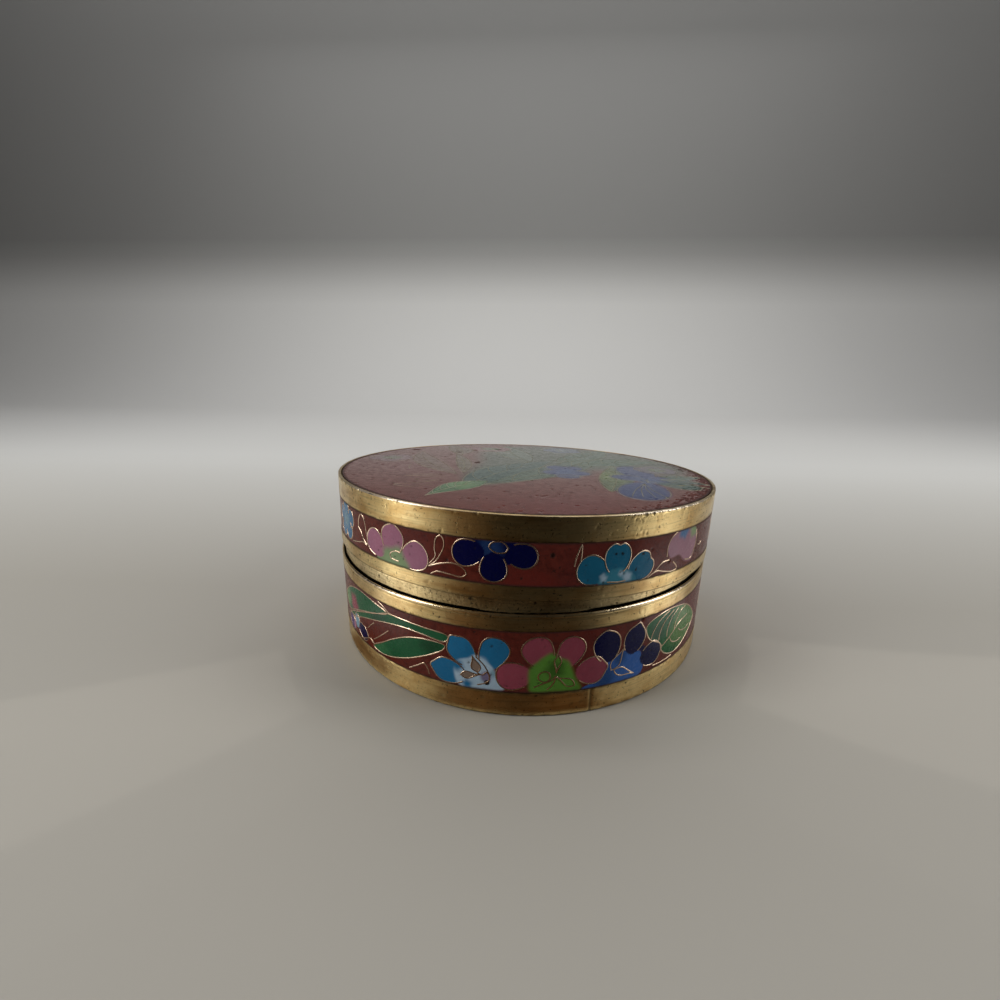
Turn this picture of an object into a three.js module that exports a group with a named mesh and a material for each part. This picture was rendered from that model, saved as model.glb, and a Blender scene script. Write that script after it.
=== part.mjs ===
import * as THREE from 'three';

// Cloisonne enamel box: a low round drum with a lift-off lid.
// The drum is a thin brass cup whose wall runs up through a rim band and stands above it as the collar
// that the lid slips over. Brass bands and enamel bands lie around the cup and around the lid's cap.
// The lid sits a little askew on the collar, higher at the front left.
// Millimetres, +Z up, the box stands on z = 0 with its bounding box centred on the origin.

// Driving dimensions
const OUTER_RADIUS = 50;          // outside of every band, brass or enamel
const FACETS = 72;                // flats around each turned piece
const JOINT = 0.3;                // clearance between two pieces that touch
const EDGE_ROUND = 0.4;           // radius of a band's worn outer edge
const BAND_THICKNESS = 0.5;       // radial thickness of the base's bands and of the lid's lower band
const LID_SKIN = 0.7;             // radial thickness of the enamel and upper band on the lid

// Base, heights above the table
const FOOT_BAND_TOP = 5.6;
const BASE_ENAMEL_TOP = 18.9;
const RIM_BAND_TOP = 22.75;
const COLLAR_SHOULDER = 25.2;     // where the collar starts to lean inwards
const COLLAR_TOP = 26.2;
const FOOT_WIDTH = 3.5;           // how far the foot reaches in under the cup
const FOOT_THICKNESS = 0.7;
const FLOOR_THICKNESS = 1.0;
const COLLAR_RADIUS = 49.1;       // outside of the cup's wall, which is the collar above the rim band
const CUP_WALL = 1.0;
const COLLAR_LEAN = 0.5;          // how far the collar leans in at its top

// Lid, heights above its own lower edge
const LOWER_BAND_TOP = 2.7;
const LID_ENAMEL_TOP = 11.6;
const UPPER_BAND_TOP = 16.6;
const CAP_WALL = 0.5;
const CAP_PLATE = 0.8;
const TOP_ENAMEL_THICKNESS = 1.0;
const TOP_CROWN = 0.3;            // rise of the top enamel at its middle

// How the lid sits
const LID_SEAT_HEIGHT = 24.7;     // middle of the lid's lower edge above the table
const LID_SHIFT_X = 0.2;
const LID_LEAN_RIGHT = THREE.MathUtils.degToRad(1.24);
const LID_LEAN_BACK = THREE.MathUtils.degToRad(1.11);

const brass = { color: 0xb08d3f, roughness: 0.38, metalness: 1.0 };
const wornBrass = { color: 0xa39a73, roughness: 0.6, metalness: 1.0 };
const redEnamel = { color: 0x6b3230, roughness: 0.3, metalness: 0.0 };

// A ring or disc turned about Z from a profile of [radius, height] points.
// A profile that leaves the axis and comes back to it is a disc; any other one is closed into a ring.
function turned(name, profile, finish) {
  const points = profile.map(([radius, height]) => new THREE.Vector2(radius, height));
  if (points[0].x > 0) {
    points.push(points[0].clone());
  }
  if (THREE.ShapeUtils.area(points) < 0) {
    points.reverse();
  }
  const geometry = new THREE.LatheGeometry(points, FACETS);
  geometry.rotateX(Math.PI / 2);
  const mesh = new THREE.Mesh(geometry, new THREE.MeshStandardMaterial(finish));
  mesh.name = name;
  return mesh;
}

// The profile of a quarter-round outer edge at a height: from the side up over the edge, or down under it.
function edgeRound(height, direction, radius = EDGE_ROUND, steps = 3) {
  const arc = [];
  for (let step = 0; step <= steps; step += 1) {
    const angle = (Math.PI / 2) * (step / steps);
    arc.push([
      OUTER_RADIUS - radius + radius * Math.cos(angle),
      height + direction * radius * (Math.sin(angle) - 1),
    ]);
  }
  return arc;
}

function baseBody() {
  const bottom = FOOT_THICKNESS + JOINT;
  const floor = bottom + FLOOR_THICKNESS;
  const inner = COLLAR_RADIUS - CUP_WALL;
  return turned('base_body', [
    [0, bottom],
    [COLLAR_RADIUS, bottom],
    [COLLAR_RADIUS, COLLAR_SHOULDER],
    [COLLAR_RADIUS - COLLAR_LEAN, COLLAR_TOP],
    [inner, COLLAR_TOP],
    [inner, floor + FLOOR_THICKNESS],
    [inner - FLOOR_THICKNESS, floor],
    [0, floor],
  ], wornBrass);
}

// The foot is an angle ring: a strip around the cup and a flat flange under its edge.
function baseFootBand() {
  const inner = OUTER_RADIUS - BAND_THICKNESS;
  return turned('base_foot_band', [
    [OUTER_RADIUS - FOOT_WIDTH, 0],
    ...edgeRound(0, -1).reverse(),
    [OUTER_RADIUS, FOOT_BAND_TOP],
    [inner, FOOT_BAND_TOP],
    [inner, FOOT_THICKNESS],
    [OUTER_RADIUS - FOOT_WIDTH, FOOT_THICKNESS],
  ], brass);
}

function baseSideEnamel() {
  return turned('base_side_enamel', [
    [OUTER_RADIUS - BAND_THICKNESS, FOOT_BAND_TOP + JOINT],
    [OUTER_RADIUS, FOOT_BAND_TOP + JOINT],
    [OUTER_RADIUS, BASE_ENAMEL_TOP],
    [OUTER_RADIUS - BAND_THICKNESS, BASE_ENAMEL_TOP],
  ], redEnamel);
}

function baseRimBand() {
  const inner = OUTER_RADIUS - BAND_THICKNESS;
  return turned('base_rim_band', [
    [inner, BASE_ENAMEL_TOP + JOINT],
    [OUTER_RADIUS, BASE_ENAMEL_TOP + JOINT],
    ...edgeRound(RIM_BAND_TOP, 1),
    [inner, RIM_BAND_TOP],
  ], brass);
}

function lidLowerBand() {
  const inner = OUTER_RADIUS - BAND_THICKNESS;
  return turned('lid_lower_band', [
    [inner, 0],
    ...edgeRound(0, -1, EDGE_ROUND / 2, 2).reverse(),
    [OUTER_RADIUS, LOWER_BAND_TOP],
    [inner, LOWER_BAND_TOP],
  ], brass);
}

function lidSideEnamel() {
  return turned('lid_side_enamel', [
    [OUTER_RADIUS - LID_SKIN, LOWER_BAND_TOP + JOINT],
    [OUTER_RADIUS, LOWER_BAND_TOP + JOINT],
    [OUTER_RADIUS, LID_ENAMEL_TOP],
    [OUTER_RADIUS - LID_SKIN, LID_ENAMEL_TOP],
  ], redEnamel);
}

function lidUpperBand() {
  const inner = OUTER_RADIUS - LID_SKIN;
  return turned('lid_upper_band', [
    [inner, LID_ENAMEL_TOP + JOINT],
    [OUTER_RADIUS, LID_ENAMEL_TOP + JOINT],
    ...edgeRound(UPPER_BAND_TOP, 1, EDGE_ROUND / 2, 2),
    [inner, UPPER_BAND_TOP],
  ], brass);
}

// The lid's cap: a wall behind the enamel, and the plate that carries the top.
function lidBody() {
  const outer = OUTER_RADIUS - LID_SKIN - JOINT;
  const inner = outer - CAP_WALL;
  const plateTop = UPPER_BAND_TOP - TOP_ENAMEL_THICKNESS - JOINT;
  const ceiling = plateTop - CAP_PLATE;
  return turned('lid_body', [
    [0, plateTop],
    [outer, plateTop],
    [outer, LOWER_BAND_TOP + JOINT],
    [inner, LOWER_BAND_TOP + JOINT],
    [inner, ceiling - CAP_PLATE],
    [inner - CAP_PLATE, ceiling],
    [0, ceiling],
  ], brass);
}

// The top enamel is level at its edge and crowned in the middle.
function lidTopEnamel() {
  const radius = OUTER_RADIUS - LID_SKIN - JOINT;
  const steps = 8;
  const crown = [];
  for (let step = 0; step <= steps; step += 1) {
    const part = step / steps;
    crown.push([radius * part, UPPER_BAND_TOP + TOP_CROWN * (1 - part * part)]);
  }
  return turned('lid_top_enamel', [
    ...crown,
    [radius, UPPER_BAND_TOP - TOP_ENAMEL_THICKNESS],
    [0, UPPER_BAND_TOP - TOP_ENAMEL_THICKNESS],
  ], redEnamel);
}

const base = new THREE.Group();
base.add(baseBody(), baseFootBand(), baseSideEnamel(), baseRimBand());

const lid = new THREE.Group();
lid.add(lidBody(), lidLowerBand(), lidSideEnamel(), lidUpperBand(), lidTopEnamel());
lid.position.set(LID_SHIFT_X, 0, LID_SEAT_HEIGHT);
lid.rotation.set(-LID_LEAN_BACK, LID_LEAN_RIGHT, 0);

const enamelBox = new THREE.Group();
enamelBox.add(base, lid);
const middle = new THREE.Box3().setFromObject(enamelBox, true).getCenter(new THREE.Vector3());
enamelBox.position.set(-middle.x, -middle.y, 0);

export default enamelBox;
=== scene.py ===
# A low round cloisonne box: a brass drum with enamelled bands, and a lift-off lid that sits a little askew
# on the drum's collar. Lengths are in millimetres, and MM turns them into metres.
import math
import random

import bpy
import numpy as np
from mathutils import Matrix, Vector


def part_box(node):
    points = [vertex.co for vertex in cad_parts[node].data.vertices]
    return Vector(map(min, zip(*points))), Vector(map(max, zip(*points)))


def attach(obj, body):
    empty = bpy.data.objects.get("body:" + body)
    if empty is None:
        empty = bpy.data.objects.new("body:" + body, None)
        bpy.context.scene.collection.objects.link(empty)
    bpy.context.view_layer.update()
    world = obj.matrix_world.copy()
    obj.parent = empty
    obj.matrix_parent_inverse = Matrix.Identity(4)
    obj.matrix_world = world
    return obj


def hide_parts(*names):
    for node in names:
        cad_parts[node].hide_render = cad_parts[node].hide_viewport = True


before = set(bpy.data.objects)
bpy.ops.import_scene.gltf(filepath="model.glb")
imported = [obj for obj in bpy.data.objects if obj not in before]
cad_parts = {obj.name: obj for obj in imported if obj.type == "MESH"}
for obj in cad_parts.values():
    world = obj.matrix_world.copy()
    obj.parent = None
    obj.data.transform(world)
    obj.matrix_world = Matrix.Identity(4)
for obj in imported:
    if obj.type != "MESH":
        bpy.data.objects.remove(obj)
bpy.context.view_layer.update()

MM = 0.001


# -------- sizes taken from the frame

def middle_of(node):
    low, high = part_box(node)
    return (low + high) / 2


def heights_of(node):
    low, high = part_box(node)
    return low.z / MM, high.z / MM


def radius_of(node):
    low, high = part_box(node)
    return (high.x - low.x) / 2 / MM


RADIUS = radius_of("base_foot_band")
BASE_MIDDLE = Vector((middle_of("base_foot_band").x, middle_of("base_foot_band").y, 0))
FOOT_TOP = heights_of("base_foot_band")[1]
BASE_ENAMEL = heights_of("base_side_enamel")
RIM_BOTTOM, RIM_TOP = heights_of("base_rim_band")
CUP_BOTTOM, COLLAR_TOP = heights_of("base_body")
COLLAR_RADIUS = radius_of("base_body")

# The lid's own heights, above its lower edge, and how it leans
LOWER_BAND_TOP = 2.7
LID_ENAMEL = (3.0, 11.6)
UPPER_BAND_BOTTOM = 11.9
UPPER_BAND_TOP = 16.59
TOP_RADIUS = 49.0
CROWN = 0.3
LID_TURN = (Matrix.Rotation(math.radians(-1.11), 3, "X")
            @ Matrix.Rotation(math.radians(1.24), 3, "Y"))
LID_FOOT = middle_of("lid_side_enamel") - LID_TURN @ Vector((0, 0, sum(LID_ENAMEL) / 2 * MM))

BASE_PLACE = Matrix.Translation(BASE_MIDDLE)
LID_PLACE = Matrix.Translation(LID_FOOT) @ LID_TURN.to_4x4()

WALL = 0.5                        # radial thickness of the bands round the cup
LID_SKIN = 0.7                    # radial thickness of the lid's upper band
CUP_WALL = 1                      # thickness of the cup's wall and floor
CAP_INNER = RADIUS - 1.5          # inside of the lid's cap
CEILING = UPPER_BAND_TOP - 2.1    # underside of the cap's plate
FOOT_INNER = RADIUS - 3.5         # how far in the foot's flange reaches
GAP = 0.3                         # clearance between two neighbouring solids, filled here by the metal
ENAMEL_SINK = 0.06                # how far the polished enamel lies below the metal around it
SKIN = RADIUS - 0.01              # the metal's skin, just inside the nominal radius
TURNS = 720                       # steps of a full spin
PLAIN_TURNS = 360                 # the same for a piece that is hidden
GRID = 0.22                       # spacing of the enamel bands' fine grid
TOP_GRID = 296                    # squares across the lid's top
PRESSED_AT = 3.5                  # degrees round the side where the collar is pressed against the rim band
HIGHLIGHT_AT = (-34, 36)             # degrees round the side where a painted highlight lies brightest along the bands' top edges
JOIN = -67                        # degrees round the side where the two ends of a picture meet
CURVE_STEPS = 8                   # points from one given corner of a wire to the next
EGG_STEPS = 44                    # points round a petal
SHORTEST_WIRE = 1.2               # a shorter end of wire is left out
PETALS = 5                        # of a plain flower
ROW_FLOWERS = 7                   # flowers on the plainer sides and back of a band
WAVES = 14                        # cosines that make up a soft unevenness


# -------- modelling by hand

def only(piece):
    bpy.ops.object.select_all(action="DESELECT")
    piece.select_set(True)
    bpy.context.view_layer.objects.active = piece


def edit(piece):
    only(piece)
    bpy.ops.object.mode_set(mode="EDIT")
    bpy.ops.mesh.select_mode(type="VERT")
    bpy.ops.mesh.select_all(action="SELECT")


def leave_edit():
    bpy.ops.object.mode_set(mode="OBJECT")


def mend(piece, reach=0.004):
    """Closes doubled points, drops loose ones and turns the faces out."""
    edit(piece)
    bpy.ops.mesh.remove_doubles(threshold=reach * MM)
    bpy.ops.mesh.delete_loose()
    bpy.ops.mesh.select_all(action="SELECT")
    bpy.ops.mesh.normals_make_consistent(inside=False)
    leave_edit()


def fine_sheet(name, across, up, size):
    """A flat grid with its middle at the origin."""
    bpy.ops.object.select_all(action="DESELECT")
    bpy.ops.mesh.primitive_grid_add(x_subdivisions=across, y_subdivisions=up, size=size)
    piece = bpy.context.object
    piece.name = name
    return piece


def extrude_border(piece, **move):
    """Extrudes a sheet's open border, and stays in edit mode with the new edges selected."""
    edit(piece)
    bpy.ops.mesh.select_mode(type="EDGE")
    bpy.ops.mesh.select_all(action="DESELECT")
    bpy.ops.mesh.select_non_manifold()
    bpy.ops.mesh.extrude_edges_move(**move)


def spun(name, profile, turns=TURNS):
    """A closed profile of (radius, height) corners, spun once about the upright axis."""
    bpy.ops.object.select_all(action="DESELECT")
    bpy.ops.mesh.primitive_circle_add(vertices=len(profile), radius=MM, fill_type="NOTHING")
    piece = bpy.context.object
    piece.name = name
    for corner, (radius, height) in zip(piece.data.vertices, profile):
        corner.co = (radius * MM, 0, height * MM)
    edit(piece)
    bpy.ops.mesh.spin(steps=turns, angle=math.tau, center=(0, 0, 0), axis=(0, 0, 1))
    leave_edit()
    mend(piece)
    return piece


def settle(piece, place):
    """Carries a piece to its place and leaves its object at the origin."""
    only(piece)
    piece.matrix_world = place
    bpy.ops.object.transform_apply(location=True, rotation=True, scale=True)


def soften(piece, degrees):
    only(piece)
    bpy.ops.object.shade_smooth_by_angle(angle=math.radians(degrees))


def points_of(piece):
    flat = np.empty(len(piece.data.vertices) * 3)
    piece.data.vertices.foreach_get("co", flat)
    return flat.reshape(-1, 3)


def put_points(piece, points):
    piece.data.vertices.foreach_set("co", points.ravel())
    piece.data.update()


def rows(radius, low, high, step=0.4):
    """Evenly spaced corners up a wall."""
    count = max(1, round(abs(high - low) / step))
    return [(radius, low + (high - low) * i / count) for i in range(count + 1)]


def rounded(radius, height, size, start, steps=4):
    """A quarter round about (radius, height), from the start angle in degrees, turning left."""
    corners = []
    for i in range(steps + 1):
        angle = math.radians(start + 90 * i / steps)
        corners.append((radius + size * math.cos(angle), height + size * math.sin(angle)))
    return corners


def finish(piece, place, material, replaced=(), degrees=40):
    """Smooths a piece, carries it to its place, gives it its finish and body, and hides the nodes it replaces."""
    soften(piece, degrees)
    settle(piece, place)
    piece.data.materials.clear()
    piece.data.materials.append(material)
    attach(piece, "root")
    if replaced:
        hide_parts(*replaced)
    return piece


# -------- drawing, flat and in millimetres

def smooth(corners, closed=False):
    """A soft curve through a few given corners."""
    corners = np.array(corners, float)
    count = len(corners)
    spans = count if closed else count - 1
    part = np.arange(CURVE_STEPS)[:, None] / CURVE_STEPS
    curve = []
    for i in range(spans):
        if closed:
            before, start, end, after = (corners[(i + k) % count] for k in (-1, 0, 1, 2))
        else:
            before, start, end, after = (corners[min(max(i + k, 0), count - 1)] for k in (-1, 0, 1, 2))
        curve.append(0.5 * (2 * start + (end - before) * part
                            + (2 * before - 5 * start + 4 * end - after) * part ** 2
                            + (3 * start - before - 3 * end + after) * part ** 3))
    if not closed:
        curve.append(corners[-1:])
    return np.concatenate(curve)


def around(degrees):
    """How far round the box's side an angle lies, from the middle of the front."""
    return math.radians(degrees) * RADIUS


def spot(degrees, height):
    return around(degrees), height


def band(*corners):
    """Corners given as (degrees round the side, height)."""
    return [spot(degrees, height) for degrees, height in corners]


def shape(*corners):
    """A soft closed outline through corners given as (degrees round the side, height)."""
    return smooth(band(*corners), closed=True)


def off(middle, heading, along, up=None):
    """A point that lies off another one, up its own amount when that differs from the amount along."""
    angle = math.radians(heading)
    return middle[0] + along * math.cos(angle), middle[1] + (along if up is None else up) * math.sin(angle)


def egg(centre, width, length, heading, point=0.0, notch=0.0, root=0.0, opened=math.pi):
    """A petal's outline about its centre. It heads the way of its rounder end, which may be drawn to a point
    or notched; root is how far the other end is drawn out towards the flower's heart. opened keeps only the
    stretch that far to either side of the heading."""
    turn = np.linspace(-opened, opened, EGG_STEPS)
    if opened >= math.pi:
        turn = turn[:-1]
    along = length / 2 * np.cos(turn) + point * np.exp(-(turn / 0.3) ** 2)
    along -= notch * np.exp(-(turn / 0.22) ** 2) + root * np.maximum(-np.cos(turn), 0)
    across = width / 2 * np.sin(turn) * (1 + 0.1 * np.cos(turn))
    angle = math.radians(heading)
    x = centre[0] + along * math.cos(angle) - across * math.sin(angle)
    y = centre[1] + along * math.sin(angle) + across * math.cos(angle)
    return np.stack([x, y], 1)


def blade(base, tip, width, bow=0.0, full=0.45, count=22):
    """A leaf's two edges from base to tip. full says how far along it is widest, bow how far it curves."""
    base, tip = np.array(base, float), np.array(tip, float)
    axis = tip - base
    side = np.array([-axis[1], axis[0]]) / np.hypot(*axis)
    part = np.linspace(0, 1, count)
    swell = np.sin(math.pi * part ** (math.log(0.5) / math.log(full)))
    spine = base + part[:, None] * axis + (bow * 4 * part * (1 - part))[:, None] * side
    left = spine + (width / 2 * swell)[:, None] * side
    right = spine - (width / 2 * swell)[:, None] * side
    return left, right, spine


def drop(tip, round_end, width):
    """A closed teardrop loop of wire."""
    left, right, _ = blade(tip, round_end, width, full=0.68, count=13)
    return np.concatenate([left, right[-2:0:-1]])


class Picture:
    """Coloured cells of enamel and the wires between them, laid out flat."""

    def __init__(self):
        self.cells = []
        self.wires = []

    def cell(self, outline, colour, *shades, soft=0.0):
        """shades are (middle, inner reach, outer reach, colour): a second colour that fades out from a place.
        soft is how far the colour runs into its neighbours at the edge."""
        self.cells.append((np.array(outline, float), colour, shades, soft))

    def wire(self, path, closed=False):
        self.wires.append((np.array(path, float), closed))

    def loop(self, outline):
        self.wire(outline, closed=True)

    def lay_over(self, outline):
        """Ends the earlier wires at an outline, where a new shape lies over them."""
        wires, self.wires = self.wires, []
        for path, closed in wires:
            course = np.concatenate([path, path[:1]]) if closed else path
            hidden = inside(course, outline)
            if not hidden.any():
                self.wires.append((path, closed))
                continue
            run = []
            for i, point in enumerate(course):
                if i and hidden[i] != hidden[i - 1]:
                    run.append(crossing(course[i - 1], point, outline))
                if not hidden[i]:
                    run.append(point)
                if run and (hidden[i] or i == len(course) - 1):
                    if np.hypot(*np.diff(run, axis=0).T).sum() > SHORTEST_WIRE:
                        self.wires.append((np.array(run), False))
                    run = []

    def line(self, *corners):
        """A wire softly through corners given as (degrees round the side, height)."""
        self.wire(smooth(band(*corners)))

    def patch(self, corners, colour, *shades, soft=0.0):
        self.cell(shape(*corners), colour, *shades, soft=soft)

    def edged(self, outline, colour, *shades):
        self.cell(outline, colour, *shades)
        self.loop(outline)

    def leaf(self, base, tip, width, colour, bow=0.0, full=0.45, veins=0, shades=(), soft=0.0, over=False):
        left, right, spine = blade(base, tip, width, bow, full)
        outline = np.concatenate([left, right[-2:0:-1]])
        self.cell(outline, colour, *shades, soft=soft)
        if over:
            self.lay_over(outline)
        self.wire(left)
        self.wire(right)
        self.wire(spine[: len(spine) * 4 // 5])
        for i in range(veins):
            start = spine[int(len(spine) * (0.18 + 0.6 * i / veins))]
            end = left[min(len(left) - 1, int(len(left) * (0.34 + 0.6 * i / veins)))]
            self.wire(smooth([start, (start + end) / 2 + (end - start)[::-1] * (-0.08, 0.08), end]))

    def petal(self, centre, width, length, heading, colour, *shades, point=0.0, notch=0.0, root=0.8, opened=2.35,
              soft=0.0, over=False):
        outline = egg(centre, width, length, heading, point, notch, root)
        self.cell(outline, colour, *shades, soft=soft)
        if over:
            self.lay_over(outline)
        self.wire(egg(centre, width, length, heading, point, notch, root, opened=opened))

    def blossom(self, heart, reach, turn, colour, heart_colour):
        """A generic open flower of round petals about its heart."""
        shade = (heart, reach * 0.34, reach * 0.56, heart_colour)
        size = reach * 2 * math.sin(math.pi / PETALS) * 0.98
        for i in range(PETALS):
            heading = turn + 360 * i / PETALS
            self.petal(off(heart, heading, reach * 0.62), size, reach * 0.8, heading, colour, shade, opened=1.6,
                       point=reach * 0.05 * (i % 2))
        self.cell(egg(heart, reach * 0.85, reach * 0.85, 0), heart_colour)
        for i in range(3):
            heading = turn + 90 + 120 * i
            self.loop(drop(off(heart, heading, reach * 0.12), off(heart, heading, reach * 0.46), reach * 0.2))


def inside(points, outline):
    """Which points lie within a closed outline."""
    x, y = points[:, 0], points[:, 1]
    within = np.zeros(len(points), bool)
    for (x0, y0), (x1, y1) in zip(outline, np.roll(outline, -1, 0)):
        if y0 == y1:
            continue
        crosses = (y0 > y) != (y1 > y)
        within ^= crosses & (x < x0 + (x1 - x0) * (y - y0) / (y1 - y0))
    return within


def crossing(start, end, outline):
    """Where a straight step from one point to another goes through an outline."""
    side = inside(start[None], outline)[0]
    for _ in range(10):
        middle = (start + end) / 2
        if inside(middle[None], outline)[0] == side:
            start = middle
        else:
            end = middle
    return start


def edge_distance(points, outline):
    """How far each point is from a closed outline."""
    nearest = np.full(len(points), 1e9)
    for start, end in zip(outline, np.roll(outline, -1, 0)):
        run = end - start
        part = np.clip(((points - start) @ run) / max(run @ run, 1e-12), 0, 1)
        nearest = np.minimum(nearest, np.hypot(*(points - start - part[:, None] * run).T))
    return nearest


def fade(distance, near, far):
    part = np.clip((far - distance) / (far - near), 0, 1)
    return part * part * (3 - 2 * part)


def painted(points, picture, ground):
    """The colour of every point, with 1 in the last place on a cell and 0 on the plain ground."""
    colours = np.zeros((len(points), 4))
    colours[:, :3] = ground
    for outline, colour, shades, soft in picture.cells:
        near = np.flatnonzero(((points > outline.min(0) - soft) & (points < outline.max(0) + soft)).all(1))
        within = inside(points[near], outline)
        if soft:
            beyond = edge_distance(points[near], outline)
            cover = fade(np.where(within, -beyond, beyond), -soft, soft)
        else:
            cover = within.astype(float)
        near, cover = near[cover > 0], cover[cover > 0][:, None]
        fill = np.tile(np.array(colour, float), (len(near), 1))
        for middle, inner, outer, second in shades:
            offset = points[near] - np.array(middle)
            ragged = 1 + 0.1 * np.sin(5 * np.arctan2(offset[:, 1], offset[:, 0]) + middle[0])
            weight = fade(np.hypot(*offset.T) * ragged, inner, outer)[:, None]
            fill = fill * (1 - weight) + np.array(second) * weight
        colours[near] = colours[near] * (1 - cover) + np.column_stack([fill, np.ones(len(near))]) * cover
    return colours


# -------- enamel colours

def fired(red, green, blue):
    """An everyday 0 to 255 colour as light amounts."""
    def amount(value):
        value = value / 255
        return value / 12.92 if value < 0.04 else ((value + 0.055) / 1.055) ** 2.4
    return amount(red), amount(green), amount(blue)


BRICK = fired(109, 46, 36)
BRIGHT_RED = fired(114, 42, 35)
NAVY = fired(3, 6, 66)
MID_BLUE = fired(58, 108, 188)
DEEP_BLUE = fired(34, 78, 140)
SKY = fired(36, 118, 168)
TURQUOISE = fired(28, 108, 144)
MILK = fired(184, 208, 230)
PALE_BLUE = fired(136, 172, 192)
GREEN = fired(36, 98, 62)
DEEP_GREEN = fired(26, 78, 48)
PALE_GREEN = fired(122, 152, 104)
SAGE = fired(146, 168, 124)
MINT = fired(80, 112, 74)
LIME = fired(98, 152, 60)
MIST = fired(112, 146, 166)
DARK_LIME = fired(66, 108, 40)
ROSE = fired(160, 74, 92)
MAUVE = fired(182, 120, 146)
PURPLE = fired(74, 44, 116)
SAND = fired(144, 122, 108)
INK = fired(14, 14, 20)
TEAL = fired(46, 76, 68)
DUSK_GREEN = fired(66, 88, 70)
SLATE = fired(38, 56, 106)
OLIVE = fired(80, 94, 56)
PALE_SLATE = fired(56, 78, 122)


# -------- the picture on the base

def sky_flower(picture):
    white = (spot(-9.0, 9.2), 2.6, 4.2, MILK)
    picture.petal(spot(-13.0, 14.1), 5.6, 5.4, 128, SKY, white, point=0.7, root=1.6)
    picture.petal(spot(-5.0, 14.7), 5.8, 5.8, 66, SKY, white, root=1.8)
    picture.petal(spot(-16.2, 8.6), 5.6, 6.6, 172, SKY, white, point=0.7, root=0.8, opened=2.6)
    middle = shape((-13.9, 11.4), (-11.2, 12.4), (-9.4, 13.4), (-6.9, 12.2), (-4.9, 10.2), (-4.3, 8.2),
            (-2.9, 6.1), (-8, 5.8), (-13.2, 5.8), (-14.6, 8.8))
    picture.cell(middle, MILK, (spot(-13.8, 10.4), 0.4, 2.0, SKY), (spot(-11.4, 6.4), 0.2, 1.6, SKY),
            (spot(-5.2, 9.6), 0.2, 1.4, PALE_BLUE), soft=0.35)
    picture.cell(egg(spot(-7.0, 8.6), 2.6, 2.2, 0), fired(128, 118, 150), soft=0.5)
    picture.edged(drop(spot(-10.2, 13.2), spot(-8.9, 9.5), 1.9), SAND)
    picture.edged(drop(spot(-8.3, 9.0), spot(-13.0, 8.3), 1.6), SAND)
    picture.line((-9.4, 13.0), (-7.6, 11.5), (-6.4, 9.6), (-6.2, 8.1), (-7.2, 7.2), (-9.0, 6.6))
    picture.line((-9.0, 9.4), (-7.8, 9.0), (-6.9, 9.7), (-6.4, 9.4))
    picture.cell(egg(spot(-6.8, 7.3), 1.1, 1.1, 0), INK)


def rose_flower(picture):
    green = (spot(8, 9.6), 2.8, 4.6, LIME)
    picture.petal(spot(-1.0, 9.3), 6.2, 6.4, 184, ROSE, root=0.8, opened=2.2)
    picture.petal(spot(4.5, 15.2), 6.1, 5.6, 118, ROSE, green, root=1.6, opened=2.2)
    picture.petal(spot(12.3, 15.0), 5.4, 5.8, 64, ROSE, green, root=1.8, opened=2.2)
    picture.petal(spot(17.3, 9.8), 6.2, 6.0, 6, ROSE, point=0.6, root=0.4, opened=2.5)
    middle = shape((2.9, 11.2), (5.0, 12.9), (7.6, 14.6), (9.8, 13.4), (12.0, 11.9), (13.4, 8.8), (14.7, 5.8),
            (9, 5.8), (3.3, 5.8), (2.7, 8.5))
    picture.cell(middle, LIME, (spot(8.6, 10.8), 0.6, 3.0, DARK_LIME), soft=0.6)
    picture.loop(egg(spot(6.2, 9.3), 2.4, 2.4, 0))
    picture.loop(drop(spot(8.9, 10.0), spot(9.3, 13.9), 1.4))
    picture.loop(drop(spot(8.9, 9.2), spot(13.4, 6.9), 1.7))
    picture.line((3.9, 6.9), (5.6, 7.6), (7.8, 8.4), (8.9, 9.5))
    picture.line((6.9, 6.3), (8.3, 7.6), (8.9, 9.2))


def navy_flower(picture):
    blue = shape((15.2, 5.8), (17.8, 6.9), (20.6, 8.6), (21.7, 11.2), (24.4, 12.4), (27.0, 13.0), (30.0, 11.8),
            (31.6, 9.6), (31.0, 5.8), (23, 5.8))
    picture.cell(blue, MID_BLUE, (spot(20.5, 7.4), 1.2, 3.6, DEEP_BLUE), (spot(24.5, 11.5), 0.6, 2.4, DEEP_BLUE))
    picture.petal(spot(20.9, 14.8), 6.1, 6.4, 98, NAVY, point=0.3, root=0.7, opened=2.5)
    picture.petal(spot(28.5, 14.7), 5.5, 6.2, 74, NAVY, point=0.7, root=0.2, opened=2.4)
    picture.petal(spot(34.5, 9.8), 5.7, 5.6, 8, NAVY, point=0.6, root=0.5, opened=2.4)
    picture.cell(shape((29.6, 13.6), (31.6, 12.6), (33.0, 11.4), (31.6, 10.6), (30.4, 11.6), (28.6, 12.4)),
            NAVY, soft=0.25)
    picture.loop(drop(spot(25.7, 13.7), spot(22.4, 8.9), 2.2))
    picture.loop(drop(spot(29.3, 6.6), spot(23.1, 8.8), 1.9))


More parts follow.
